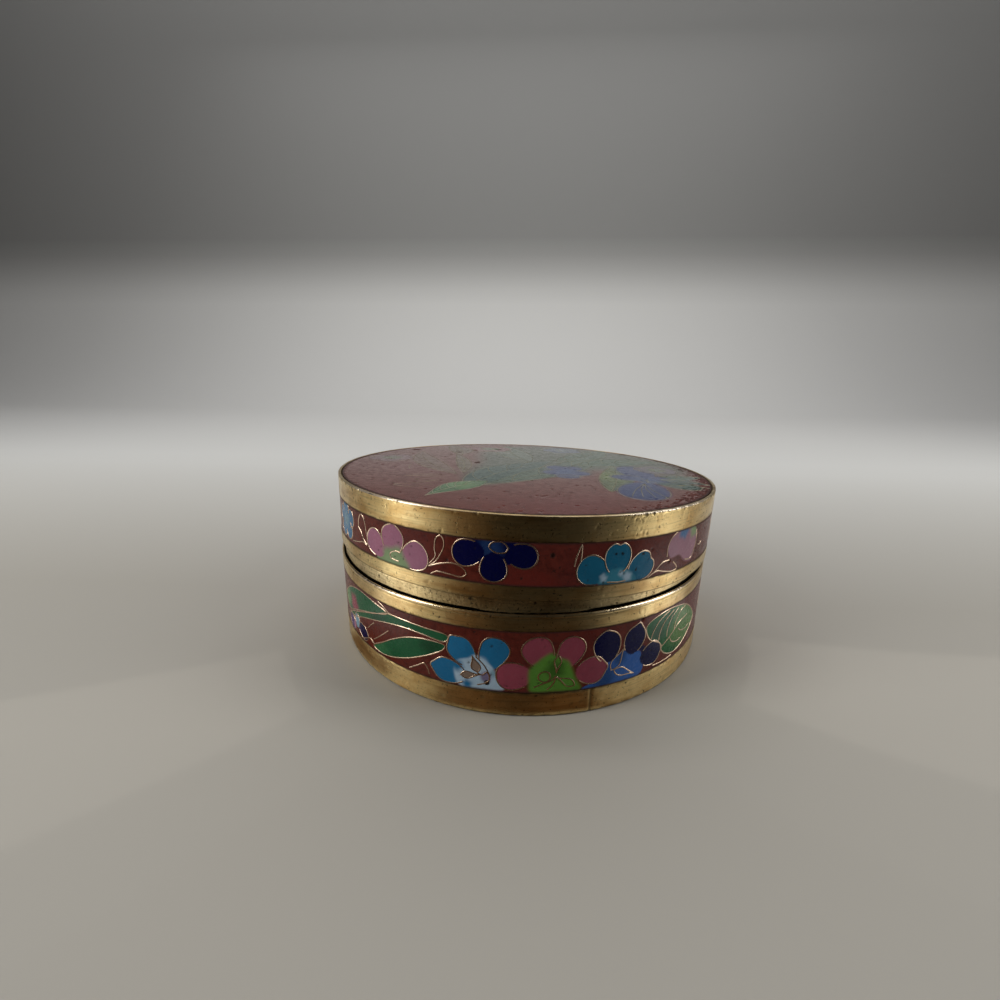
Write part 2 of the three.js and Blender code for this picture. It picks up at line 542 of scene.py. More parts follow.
def fluted_leaf(picture):
    outline = shape((31.9, 16.8), (34.6, 18.1), (39.5, 18.7), (44.5, 18.3), (49.5, 16.9), (54, 14.2),
            (56.5, 11.4), (54, 9.4), (49, 7.4), (44.5, 6.8), (40.6, 7.7), (38.3, 9.5), (37.4, 11.4),
            (34.2, 12.9), (32.6, 14.4))
    picture.edged(outline, fired(28, 100, 56), (spot(50.0, 13.6), 4.8, 9.0, fired(106, 146, 84)),
            (spot(36, 14), 0.5, 4.0, DEEP_GREEN))
    flutes = (((33.9, 13.2), (34.6, 15.1), (36.6, 17.1), (40.2, 18.3)),
              ((36.9, 12.2), (37.1, 14.1), (38.7, 16.3), (42.2, 17.9)),
              ((40.2, 12.1), (40.2, 14.0), (41.6, 16.3), (44.4, 17.7)),
              ((43.4, 13.0), (44.0, 14.8), (46.0, 16.6), (48.6, 17.0)),
              ((41.6, 11.4), (43.0, 9.9), (45.4, 9.1), (48.0, 9.1)),
              ((45.6, 12.4), (47.2, 11.2), (50.2, 10.6), (53.0, 10.9)))
    for flute in flutes:
        picture.line(*flute)
    picture.line((38.3, 10.2), (41.2, 11.4), (45.5, 13.6), (50.5, 14.2))
    picture.line((35.6, 6.4), (39.2, 6.2), (43.4, 6.3))


def left_leaves(picture):
    broad = shape((-61, 12.4), (-57, 15.6), (-52, 17.6), (-46, 18.6), (-40, 18.2), (-33.9, 17.1), (-39, 15.5),
            (-45, 13.9), (-51, 12.0), (-57, 10.2))
    picture.edged(broad, GREEN, (spot(-51.5, 13.4), 1.2, 3.4, ROSE), (spot(-59, 13.5), 2.0, 5.0, PALE_GREEN))
    stem = shape((-56.5, 9.4), (-51, 11.5), (-45, 13.6), (-39, 15.4), (-34, 17.05), (-29.5, 17.25),
            (-23, 17.1), (-16.4, 16.7), (-16.9, 15.0), (-22, 15.4), (-28, 15.5), (-34, 14.8), (-40, 13.5),
            (-46, 11.9), (-52, 9.9))
    picture.edged(stem, GREEN, (spot(-38, 15), 1.0, 5.0, DEEP_GREEN))
    picture.line((-37.2, 18.9), (-35.2, 18.3), (-33.2, 17.3))
    lens = shape((-40.6, 6.9), (-36.6, 9.1), (-32, 11.6), (-27.5, 13.4), (-22.5, 14.4), (-17.2, 14.4),
            (-17.2, 13.2), (-19.5, 11.8), (-23.5, 10.0), (-28.5, 8.1), (-33.5, 6.7), (-38, 6.15))
    picture.edged(lens, GREEN, (spot(-38, 7.4), 1.5, 5.0, fired(58, 116, 76)),
            (spot(-20, 13), 1.0, 4.0, DEEP_GREEN))
    picture.line((-40.4, 7.1), (-42.4, 7.9), (-45, 6.8), (-48, 5.9))
    picture.line((-43.2, 10.2), (-41.5, 11.6), (-39.6, 12.9))
    picture.line((-40.4, 8.4), (-37.2, 10.5), (-33.7, 13.0))
    picture.line((-27.0, 6.3), (-24.6, 7.6), (-22.6, 8.7), (-21.6, 7.8), (-21.1, 6.5))
    heart = spot(-51, 7.6)
    picture.petal(spot(-46.2, 8.0), 3.8, 4.8, -14, NAVY, (heart, 1.6, 3.2, PURPLE), opened=2.4)
    picture.petal(spot(-50.2, 9.7), 3.0, 3.0, 84, PALE_BLUE, opened=2.2)
    picture.petal(spot(-55, 7.6), 4.2, 4.2, 172, PURPLE, (heart, 1.5, 3.0, MAUVE), opened=2.4)


def sprig(picture, start, rise, colour, size):
    """A pair of leaves on a short stem, for the sides that are plainer."""
    base = np.array([start, rise])
    picture.leaf(base, base + np.array([9.5, 4.2]) * size, 3.0 * size, colour, bow=0.8, veins=3)
    picture.leaf(base, base + np.array([8.0, -3.4]) * size, 2.6 * size, colour, bow=-0.6, veins=2)
    picture.wire(smooth([base, base + np.array([-2.2, 0.4]) * size, base + np.array([-3.6, -0.8]) * size]))


def plain_row(picture, heights, colours, first, sweep, spacing, reach, turn, rise, size):
    """The sides and back repeat the same flowers and leaves in a plainer row, from a first angle over a sweep.
    spacing is how far a flower and its leaves lie to either side of their place."""
    for i in range(ROW_FLOWERS):
        degrees = first + sweep * (i + 0.5) / ROW_FLOWERS
        petal_colour, heart_colour = colours[i % len(colours)]
        height = sum(heights) / 2 + rise * (-1) ** i
        picture.blossom(spot(degrees - spacing[0], height), reach, 90 + turn * i, petal_colour, heart_colour)
        sprig(picture, around(degrees + spacing[1]), height, (GREEN, DEEP_GREEN)[i % 2], size)


def base_picture():
    picture = Picture()
    colours = ((ROSE, LIME), (SKY, MILK), (NAVY, MID_BLUE), (MAUVE, PALE_GREEN))
    plain_row(picture, BASE_ENAMEL, colours, 62, 226, (6, 4.5), 5.4, 24, 0.7, 1.0)
    left_leaves(picture)
    fluted_leaf(picture)
    sky_flower(picture)
    navy_flower(picture)
    rose_flower(picture)
    return picture


# -------- the picture round the lid's side

def lid_left(picture):
    heart = spot(-54.0, 7.8)
    for i in range(PETALS):
        heading = 20 + 360 * i / PETALS
        picture.petal(off(heart, heading, 3.2, 2.6), 4.1, 4.1, heading, fired(74, 122, 162),
                (heart, 1.0, 2.6, MIST), opened=1.9)
    picture.cell(egg(heart, 3.0, 2.6, 0), MIST)
    picture.line((-45.2, 8.0), (-45.0, 9.7), (-43.9, 11.1), (-42.5, 10.8), (-41.6, 9.2), (-41.3, 7.8),
            (-40.5, 6.2))
    picture.line((-45.2, 8.0), (-43.6, 7.0), (-42.4, 5.6), (-41.0, 4.9))
    picture.line((-49, 3.9), (-45.6, 4.5), (-43, 5.1), (-41.2, 4.7))


def mauve_flower(picture):
    sage = (spot(-30.4, 3.4), 2.5, 4.4, SAGE)
    picture.patch(((-36.4, 3.0), (-34.4, 6.2), (-31, 6.4), (-27.6, 6.2), (-25.2, 3.0)), SAGE, soft=0.3)
    picture.petal(spot(-37.6, 6.5), 5.6, 5.6, 146, MAUVE, sage, root=1.0, opened=2.1)
    picture.petal(spot(-31.2, 8.5), 6.2, 5.6, 84, MAUVE, sage, point=0.3, root=1.0, opened=2.25)
    picture.petal(spot(-24.2, 6.1), 5.9, 5.8, 26, MAUVE, sage, root=0.9, opened=2.3)
    picture.line((-28.6, 5.9), (-30.3, 6.0), (-31.9, 5.2), (-31.4, 4.2), (-29.2, 4.0))


def trailing_leaves(picture):
    picture.line((-20.7, 4.7), (-18.9, 6.0), (-18.0, 7.2), (-17.0, 9.0), (-17.0, 10.6), (-17.8, 11.3),
            (-18.9, 10.5), (-19.2, 8.6), (-19.0, 7.0), (-20.5, 5.3))
    picture.line((-20.7, 4.7), (-17.5, 5.8), (-14.6, 6.2), (-12.6, 5.6), (-11.7, 4.5), (-12.8, 3.7),
            (-15.5, 3.9), (-18.4, 4.0), (-20.1, 3.3))


def lid_navy_flower(picture):
    blue = (spot(-6.6, 10.4), 1.0, 3.4, fired(32, 58, 108))
    picture.cell(band((-13, 11.6), (-12.4, 7.4), (-7.8, 6.8), (-4, 6.8), (0, 7.6), (1.6, 11.6)), NAVY, blue)
    picture.petal(spot(-11.6, 8.7), 5.3, 5.9, 192, NAVY, root=0.4, opened=2.2)
    picture.petal(spot(-5.8, 6.1), 5.1, 5.2, 270, NAVY, root=0.6, opened=2.3)
    picture.petal(spot(0.2, 8.9), 4.8, 5.6, -8, NAVY, root=0.4, opened=2.2)
    picture.wire(shape((-6.8, 10.2), (-6.1, 11.2), (-4.2, 11.4), (-2.9, 10.4), (-3.5, 9.4), (-5.4, 9.3)))


def turquoise_flower(picture):
    heart = spot(21.4, 4.2)
    pale = (heart, 0.6, 2.2, fired(90, 160, 182))
    picture.petal(spot(15.2, 6.1), 5.9, 5.9, 160, TURQUOISE, pale, (spot(18.0, 4.6), 0.2, 1.1, MILK), root=0.6,
            opened=2.1)
    picture.petal(spot(21.2, 8.3), 5.6, 6.0, 88, TURQUOISE, pale, notch=0.5, root=0.6, opened=2.5)
    picture.petal(spot(27.7, 5.9), 5.9, 6.2, 34, TURQUOISE, pale, notch=0.5, root=0.4, opened=2.5)
    picture.patch(((17.2, 3.0), (18.4, 5.2), (21.6, 6.2), (24.8, 5.2), (26, 3.0)), fired(60, 138, 166),
            (spot(24.0, 4.2), 0.3, 1.5, MILK), (spot(18.1, 4.3), 0.1, 1.1, MILK),
            (spot(22.3, 5.0), 0.1, 0.9, MILK), soft=0.3)
    picture.line((19.0, 3.5), (21.4, 3.3), (23.6, 3.4))
    for eye in (spot(20.6, 9.0), spot(22.2, 9.0), spot(26.2, 5.4), spot(27.8, 8.4)):
        picture.cell(egg(eye, 0.55, 0.55, 0), INK)


def lid_right(picture):
    picture.line((29.8, 3.1), (31.8, 4.1), (34.1, 5.6), (36.6, 5.8))
    picture.line((38.2, 5.2), (39.6, 4.2), (39.9, 3.4), (38.2, 3.1), (35.2, 3.6), (33.0, 4.1), (31.2, 3.8))
    tinge = (spot(41.5, 11.4), 1.0, 2.4, fired(96, 132, 178))
    sage = (spot(46.4, 10.9), 0.8, 2.4, SAGE)
    picture.patch(((35.4, 8.6), (36.4, 10.4), (38.8, 11.5), (43, 11.5), (47.2, 11.2), (48.4, 8.2), (47.2, 4.2),
            (43.5, 4.4), (40.4, 6.2), (36.9, 6.3)), fired(176, 130, 148), tinge, sage, soft=0.3)
    picture.line((35.6, 6.6), (35.5, 8.8), (36.6, 10.5), (38.8, 11.5))
    picture.line((47.9, 10.6), (48.5, 8.4), (47.8, 5.9), (46.2, 4.4), (43.4, 4.7))
    picture.line((50.2, 6.9), (51.4, 6.4), (52.6, 6.9))
    picture.line((11.2, 7.0), (11.6, 9.0), (12.5, 11.2), (12.6, 9.2), (12.4, 7.6))


def lid_side_picture():
    picture = Picture()
    picture.patch(((-3.4, 3.0), (-2.8, 5.8), (1, 6.6), (5, 6.0), (7.6, 4.4), (7.8, 3.0)), BRIGHT_RED, soft=0.8)
    colours = ((TURQUOISE, MILK), (MAUVE, PALE_GREEN), (NAVY, MID_BLUE), (ROSE, LIME))
    plain_row(picture, LID_ENAMEL, colours, 58, 236, (5, 4), 3.9, 30, 0.3, 0.82)
    lid_left(picture)
    mauve_flower(picture)
    trailing_leaves(picture)
    lid_navy_flower(picture)
    turquoise_flower(picture)
    lid_right(picture)
    return picture


# -------- the picture on top of the lid

def top_picture():
    """A branch of leaves and two blue flowers, in plain millimetres about the lid's middle, the front downwards.
    The top is worn, so its colours are dusky and run together."""
    picture = Picture()
    # the leaves run together over a broad dusky ground, and fan up from the front
    spread = ((-11, -27), (-3, -21), (3, -12), (9, -13), (17, -9), (22, -3), (40, -6), (47, 4), (44, 20),
            (33, 35), (16, 45), (-4, 42), (-14, 26), (-13, 4), (-15, -12))
    picture.cell(smooth(spread, closed=True), fired(76, 82, 68), soft=4.0)
    for base, tip, width, bow, full, colour in (
            ((-13, -29), (10, 12), 13, 2.5, 0.4, TEAL), ((-9, -27), (24, 24), 11, -3.5, 0.5, DUSK_GREEN),
            ((2, 6), (-6, 44), 11, 2, 0.45, fired(92, 102, 88)), ((10, 10), (30, 42), 11, -2, 0.45, DUSK_GREEN),
            ((16, 4), (44, 18), 12, 2.2, 0.45, fired(66, 92, 72))):
        picture.leaf(base, tip, width, colour, bow=bow, full=full, veins=4, soft=1.0, over=True)
    # pale narrow leaves on the left
    picture.leaf((-15.5, -14), (-22, 18), 4.2, fired(100, 84, 64), bow=-1.2, veins=3, soft=0.8, over=True)
    picture.leaf((-20, -39), (-8.5, -23), 7.4, MINT, bow=1.3, full=0.6, veins=5, soft=0.4, over=True,
            shades=(((-14, -28), 1.0, 5, fired(102, 134, 88)),))
    picture.leaf((-17, -16), (-34, 22), 7.5, fired(102, 68, 54), bow=3.0, veins=3, soft=1.0, over=True)
    picture.leaf((-20, 16), (-28, 40), 8, fired(100, 76, 62), bow=-2, veins=3, soft=1.0, over=True)
    # wires that trail over the ground on the left
    for trail in (((-20, -17.2), (-24, -17.6), (-29, -18.6)), ((-20, -18.4), (-24, -19.4), (-29, -20.6)),
                  ((-19, -20.5), (-23, -21.2), (-25.5, -23.6), (-23.8, -25), (-20.6, -24)),
                  ((-20, -24), (-24, -27.5), (-29, -30), (-25, -31.5), (-20.5, -28.5)),
                  ((-30, -11.5), (-31.2, -8), (-31.4, -4.4))):
        picture.wire(smooth(trail))
    # the small blue flower
    small = (11.4, -6.5)
    for i in range(PETALS):
        heading = -90 + 360 * i / PETALS
        picture.petal(off(small, heading, 2.7, 5.6), 6.6, 8.0, heading, SLATE, (small, 1.4, 4.0, PALE_SLATE),
                opened=2.0, soft=0.8, over=True)
    picture.cell(egg(small, 3.4, 5.2, 90), PALE_SLATE, soft=0.6)
    picture.wire(smooth(((8.2, -12.6), (11.2, -13.4), (15.4, -12.8))))
    # the yellow-green leaf and the large blue flower beside it
    picture.leaf((19.4, -28.5), (26, 6), 8.6, OLIVE, bow=-1.4, veins=5, soft=0.6, over=True,
            shades=(((22, -10), 2, 9, fired(98, 114, 62)),))
    large = (31, -14)
    for heading, reach_x, reach_y, width, length in ((-38, 8.4, 6.5, 8, 11), (28, 8, 7, 8, 11),
                                                     (88, 4, 11.5, 10, 19), (158, 4.2, 6.5, 7, 9),
                                                     (-108, 12.0, 12.6, 11.5, 18)):
        tone = TEAL if heading == -38 else SLATE
        picture.petal(off(large, heading, reach_x, reach_y), width, length, heading, tone,
                (large, 1.5, 5.5, PALE_SLATE), opened=2.1, soft=1.0, over=True)
    picture.cell(egg(large, 5.0, 8.0, 90), PALE_SLATE, soft=0.8)
    for along in (23.2, 25.6, 28.2, 30.8):
        picture.wire(smooth(((29.5, -18), ((29.5 + along) / 2 - 0.6, -25), (along, -32))))
    for seed in ((29.5, -17), (32.5, -17), (31, -11.5)):
        picture.loop(drop(large, seed, 1.8))
    picture.leaf((36, -8), (47.5, -6), 5.4, fired(66, 94, 82), bow=-1.0, veins=3, soft=0.6, over=True)
    picture.leaf((35, -12), (46, -16), 4.4, fired(64, 88, 86), bow=0.8, veins=3, soft=0.6, over=True)
    picture.wire(smooth(((33.8, -19.5), (38, -18), (42, -17.8), (44.6, -20))))
    # dim blossoms towards the back
    for heart, reach, turn, colour, middle in (
            ((-40, 6), 6.6, 60, fired(112, 74, 80), fired(104, 100, 84)),
            ((-12, 33), 7.4, 90, fired(122, 74, 78), fired(104, 112, 88)),
            ((14, 36), 7.0, 40, fired(82, 92, 112), fired(116, 126, 132)),
            ((38, 2), 6.0, 20, fired(96, 84, 96), fired(96, 108, 90))):
        picture.lay_over(egg(heart, 2 * reach, 2 * reach, 0))
        picture.blossom(heart, reach, turn, colour, middle)
    return picture


# -------- laying a flat picture on the box

def wrapped(flat, radius):
    """Flat points (along, height, outwards) rolled round an upright drum."""
    angle = flat[:, 0] / RADIUS
    reach = radius + flat[:, 2]
    return np.stack([reach * np.sin(angle), -reach * np.cos(angle), flat[:, 1]], 1)


def crowned(points):
    """The lid's top: highest in the middle, level with the band at its edge."""
    part = (points[:, 0] ** 2 + points[:, 1] ** 2) / TOP_RADIUS ** 2
    return CROWN * (1 - part)


def waves(along, up, seed, fineness):
    """Soft unevenness between about -1 and 1 that closes on itself round the box."""
    draw = np.random.default_rng(seed)
    total = np.zeros(len(along))
    for _ in range(WAVES):
        turns = draw.integers(fineness // 3, fineness + 1)
        slant = draw.uniform(-1, 1) * turns / RADIUS
        total += np.cos(turns * along / RADIUS + slant * up + draw.uniform(0, math.tau))
    return total / math.sqrt(WAVES) / 1.4


def dimples(points, spots):
    """How deep each flat point lies in a set of (along, up, size, depth) dimples, rounded and flat-floored."""
    depth = np.zeros(len(points))
    for along, up, size, deepest in spots:
        near = np.flatnonzero((abs(points[:, 0] - along) < 2 * size) & (abs(points[:, 1] - up) < 2 * size))
        if len(near):
            distance = np.hypot(points[near, 0] - along, points[near, 1] - up) / size
            depth[near] = np.maximum(depth[near], deepest * fade(distance, 0.45, 1.25))
    return depth


def scattered(seed, count, low, high, sizes, depths, span=(-180, 180)):
    """Seeded dimples strewn between two heights and two angles."""
    draw = random.Random(seed)
    spots = []
    for _ in range(count):
        along = around(draw.uniform(*span))
        up = draw.uniform(low, high)
        size = draw.uniform(*sizes)
        spots.append((along, up, size, draw.uniform(*depths)))
    return spots


def tint(piece, colours):
    glaze = piece.data.attributes.new("Glaze", "FLOAT_COLOR", "POINT")
    glaze.data.foreach_set("color", colours.ravel().astype(np.float32))


def side_enamel(name, heights, picture, pits, seed):
    """An enamelled band: a fine flat sheet, painted, rolled into a drum and given its thickness. It starts at
    JOIN, left of the front's picture, and runs once round the front and the back."""
    low, high = heights
    girth, start = math.tau * RADIUS, around(JOIN)
    pits = [((along - start) % girth + start, *rest) for along, *rest in pits]
    piece = fine_sheet(name, round(girth / GRID), round((high - low) / GRID), 1)
    flat = (points_of(piece) + (0.5, 0.5, 0)) * (girth, high - low, 1) + (start, low, 0)
    tint(piece, painted(flat[:, :2], picture, BRICK))
    depth = dimples(flat, pits)
    border = np.minimum(flat[:, 1] - low, high - flat[:, 1])
    note(piece, "GrimeAndShade", np.maximum(np.minimum(depth / 0.1, 1) * 0.8, 0.7 * fade(border, 0.1, 0.4)))
    flat[:, 2] -= depth + 0.006 * (1 + waves(flat[:, 0], flat[:, 1], seed, 160))
    put_points(piece, wrapped(flat, RADIUS - ENAMEL_SINK) * MM)
    mend(piece)
    extrude_border(piece)
    inner = (RADIUS - WALL) / (RADIUS - ENAMEL_SINK)
    bpy.ops.transform.resize(value=(inner, inner, 1), center_override=(0, 0, 0))
    bpy.ops.mesh.bridge_edge_loops()
    leave_edit()
    mend(piece, reach=0.001)
    return piece


def wire_work(name, picture, place_points, thick=0.18):
    """All the wires of one picture: flat curves with a round section, carried onto the box."""
    bpy.ops.object.select_all(action="DESELECT")
    bpy.ops.curve.primitive_nurbs_path_add()
    wires = bpy.context.object
    wires.name = name
    wires.data.splines.clear()
    wires.data.bevel_depth = thick
    wires.data.bevel_resolution = 1
    wires.data.resolution_u = 1
    wires.data.use_fill_caps = True
    for path, closed in picture.wires:
        spline = wires.data.splines.new("POLY")
        spline.points.add(len(path) - 1)
        spline.points.foreach_set("co", np.column_stack([path, np.zeros(len(path)), np.ones(len(path))]).ravel())
        spline.use_cyclic_u = closed
    only(wires)
    bpy.ops.object.convert(target="MESH")
    wires = bpy.context.object
    put_points(wires, place_points(points_of(wires)) * MM)
    mend(wires, reach=0.0005)
    return wires


# -------- materials

class Finish:
    """A principled material and short calls for the nodes that feed it."""

    def __init__(self, name, **sockets):
        self.material = bpy.data.materials.new(name)
        self.material.use_nodes = True
        self.tree = self.material.node_tree
        self.tree.nodes.clear()
        self.shader = self.node("ShaderNodeBsdfPrincipled")
        output = self.node("ShaderNodeOutputMaterial")
        self.join(self.shader, "BSDF", output, "Surface")
        for socket, value in sockets.items():
            self.shader.inputs[socket.replace("_", " ")].default_value = value
        self.place = self.node("ShaderNodeTexCoord").outputs["Object"]

    def node(self, kind, **settings):
        made = self.tree.nodes.new(kind)
        for key, value in settings.items():
            setattr(made, key, value)
        return made

    def join(self, source, output, target, socket):
        self.tree.links.new(source.outputs[output], target.inputs[socket])

    def feed(self, socket, value):
        if hasattr(value, "is_linked"):
            self.tree.links.new(value, socket)
        else:
            socket.default_value = value

    def noise(self, scale, detail=3.0, roughness=0.55, stretch=None):
        """Cloudy noise, scale in patches per metre; stretch squeezes it along x, y and z."""
        made = self.node("ShaderNodeTexNoise")
        made.inputs["Scale"].default_value = scale
        made.inputs["Detail"].default_value = detail
        made.inputs["Roughness"].default_value = roughness
        source = self.place
        if stretch:
            mapping = self.node("ShaderNodeMapping")
            mapping.inputs["Scale"].default_value = stretch
            self.feed(mapping.inputs["Vector"], source)
            source = mapping.outputs["Vector"]
        self.feed(made.inputs["Vector"], source)
        return made.outputs["Fac"]

    def ramp(self, value, low, high, first=0.0, last=1.0):
        made = self.node("ShaderNodeMapRange", interpolation_type="SMOOTHSTEP")
        self.feed(made.inputs["Value"], value)
        for socket, amount in (("From Min", low), ("From Max", high), ("To Min", first), ("To Max", last)):
            made.inputs[socket].default_value = amount
        return made.outputs["Result"]

    def math(self, operation, first, second):
        made = self.node("ShaderNodeMath", operation=operation)
        self.feed(made.inputs[0], first)
        self.feed(made.inputs[1], second)
        return made.outputs[0]

    def blend(self, amount, first, second, mode="MIX"):
        made = self.node("ShaderNodeMix", data_type="RGBA", blend_type=mode)
        self.feed(made.inputs["Factor"], amount)
        for socket, value in ((made.inputs[6], first), (made.inputs[7], second)):
            self.feed(socket, (*value, 1) if isinstance(value, tuple) else value)
        return made.outputs[2]

    def attribute(self, name, output="Fac"):
        made = self.node("ShaderNodeAttribute", attribute_name=name)
        return made.outputs[output]

    def colour(self, value):
        self.feed(self.shader.inputs["Base Color"], value)

    def rough(self, value):
        self.feed(self.shader.inputs["Roughness"], value)

    def bump(self, height, distance):
        made = self.node("ShaderNodeBump")
        made.inputs["Distance"].default_value = distance
        made.inputs["Strength"].default_value = 1
        self.feed(made.inputs["Height"], height)
        self.feed(self.shader.inputs["Normal"], made.outputs["Normal"])


def polished_brass(name, gold, brown, worn=0.0):
    """Worn brass: lines round it, orange-brown clouds of tarnish, small dark specks and dirty edges. Its darkest
    marks go black as dirt and painted shade, marks at the very front are a painted dark reflection, and a pale
    painted highlight lies along some top edges.
    """
    look = Finish(name, Metallic=1.0, Anisotropic=0.75, Anisotropic_Rotation=0.25)
    round_it = look.node("ShaderNodeTangent", direction_type="RADIAL", axis="Z")
    look.join(round_it, "Tangent", look.shader, "Tangent")
    lines = look.noise(1.0, detail=5, roughness=0.7, stretch=(70, 70, 2400))
    smears = look.noise(1.0, detail=3, roughness=0.6, stretch=(60, 60, 420))
    clouds = look.noise(130, detail=5, roughness=0.65)
    patches = look.noise(30, detail=3)
    specks = look.noise(700, detail=3, roughness=0.65)
    grains = look.noise(1700, detail=2, roughness=0.6)
    grime_and_shade = look.attribute("GrimeAndShade")
    tarnish = look.ramp(clouds, 0.4 - 0.06 * worn, 0.72, 0.0, 0.75 + 0.15 * worn)
    shade = look.blend(tarnish, gold, brown)
    shade = look.blend(look.ramp(smears, 0.48, 0.72, 0.0, 0.72), shade, brown)
    pale = look.ramp(patches, 0.5, 0.72, 0.0, 0.3)
    shade = look.blend(pale, shade, tuple(0.6 * part + 0.3 for part in gold))
    shade = look.blend(look.ramp(lines, 0.48, 0.72, 0.0, 0.6), shade, tuple(0.4 * part for part in gold))
    shade = look.blend(look.ramp(grains, 0.62 - 0.04 * worn, 0.72, 0.0, 0.7), shade, (0.12, 0.07, 0.03))
    # Dirt marks darken the brass; besides real dirt and specks they carry painted shade in the collar's joint and
    # a painted dark reflection at the front.
    dirt = look.math("MAXIMUM", look.ramp(specks, 0.64 - 0.05 * worn, 0.72), grime_and_shade)
    shade = look.blend(look.math("MULTIPLY", dirt, 0.92), shade, (0.05, 0.032, 0.018))
    # The darkest marks go black: dirt and painted shade in the open joint under the collar.
    shade = look.blend(look.ramp(grime_and_shade, 0.9, 1.0), shade, (0.003, 0.002, 0.0015))
    # A painted highlight: a pale colour and a smoother finish along the marked top edges.
    edge_highlight = look.attribute("EdgeHighlight")
    look.colour(look.blend(edge_highlight, shade, (1.0, 0.85, 0.69)))
    haze = look.ramp(clouds, 0.3, 0.75, 0.27 + 0.12 * worn, 0.43 + 0.12 * worn)
    haze = look.math("SUBTRACT", haze, look.math("MULTIPLY", edge_highlight, 0.12))
    look.rough(look.math("ADD", haze, look.math("MULTIPLY", dirt, 0.35)))
    height = look.math("ADD", look.math("MULTIPLY", lines, 0.6), look.math("MULTIPLY", grains, 0.4 + 0.5 * worn))
    look.bump(look.math("SUBTRACT", height, look.math("MULTIPLY", dirt, 0.5)), 0.00004 + 0.00002 * worn)
    return look.material


def wire_gold(name, bright, dull, smooth, rough):
    """Thin worn wires, duller in places."""
    look = Finish(name, Metallic=1.0)
    clouds = look.noise(220, detail=3)
    look.colour(look.blend(look.ramp(clouds, 0.35, 0.75), bright, dull))
    look.rough(look.ramp(clouds, 0.3, 0.7, smooth, rough))
    look.bump(look.noise(1500, detail=2), 0.00002)
    return look.material


def picture_enamel(name, dull, gloss):
    """Fired enamel: every cell in its own colour, slightly clouded, the ground mottled and peppered with dark."""
    look = Finish(name, Specular_IOR_Level=gloss)
    glaze = look.attribute("Glaze", "Color")
    in_cell = look.attribute("Glaze", "Alpha")
    pits = look.attribute("GrimeAndShade")
    mottle = look.noise(700, detail=4, roughness=0.7)
    clouds = look.noise(120, detail=3)
    drift = look.noise(32, detail=2)
    pepper = look.noise(1500, detail=2, roughness=0.6)
    ground = look.blend(look.ramp(mottle, 0.35, 0.72), glaze, (0.58, 0.45, 0.42), mode="MULTIPLY")
    ground = look.blend(look.ramp(drift, 0.45, 0.7, 0.0, 0.5), ground, (0.15, 0.03, 0.032))
    ground = look.blend(look.ramp(pepper, 0.62, 0.7, 0.0, 0.7), ground, (0.03, 0.012, 0.01))
    cell = look.blend(look.ramp(clouds, 0.3, 0.8, 0.0, 0.55), glaze, (0.62, 0.66, 0.7), mode="MULTIPLY")
    cell = look.blend(look.ramp(mottle, 0.5, 0.8, 0.0, 0.35), cell, (0.5, 0.5, 0.5), mode="MULTIPLY")
    shade = look.blend(in_cell, ground, cell)
    look.colour(look.blend(look.math("MULTIPLY", pits, 0.9), shade, (0.02, 0.014, 0.012)))
    sheen = look.ramp(mottle, 0.3, 0.75, 0.2 + dull, 0.34 + dull)
    look.rough(look.math("ADD", sheen, look.math("MULTIPLY", pits, 0.4)))
    height = look.math("SUBTRACT", look.noise(260, detail=3), look.math("MULTIPLY", pepper, 0.25))
    look.bump(height, 0.00004)
    return look.material


def lining_enamel():
    """The plain blue enamel that backs the box inside and underneath."""
    look = Finish("lining enamel")
    clouds = look.noise(60, detail=4)
    pepper = look.noise(800, detail=2)
    shade = look.blend(look.ramp(clouds, 0.3, 0.75), fired(40, 128, 160), fired(28, 98, 140))
    look.colour(look.blend(look.ramp(pepper, 0.66, 0.74), shade, fired(14, 40, 60)))
    look.rough(look.ramp(clouds, 0.3, 0.7, 0.22, 0.34))
    look.bump(look.noise(300, detail=3), 0.00006)
    return look.material


BRASS = polished_brass("brass", (0.90, 0.68, 0.32), (0.50, 0.28, 0.085))
COLLAR_BRASS = polished_brass("worn brass", (0.90, 0.71, 0.38), (0.42, 0.28, 0.12), worn=1.0)
WIRES = wire_gold("wire gold", (0.82, 0.62, 0.46), (0.5, 0.34, 0.22), 0.22, 0.36)
DULL_WIRES = wire_gold("dull wire gold", (0.40, 0.37, 0.27), (0.17, 0.15, 0.11), 0.42, 0.62)
SIDE_ENAMEL = picture_enamel("side enamel", dull=0.0, gloss=0.18)
TOP_ENAMEL = picture_enamel("top enamel", dull=-0.05, gloss=0.22)
LINING = lining_enamel()


# -------- the metal

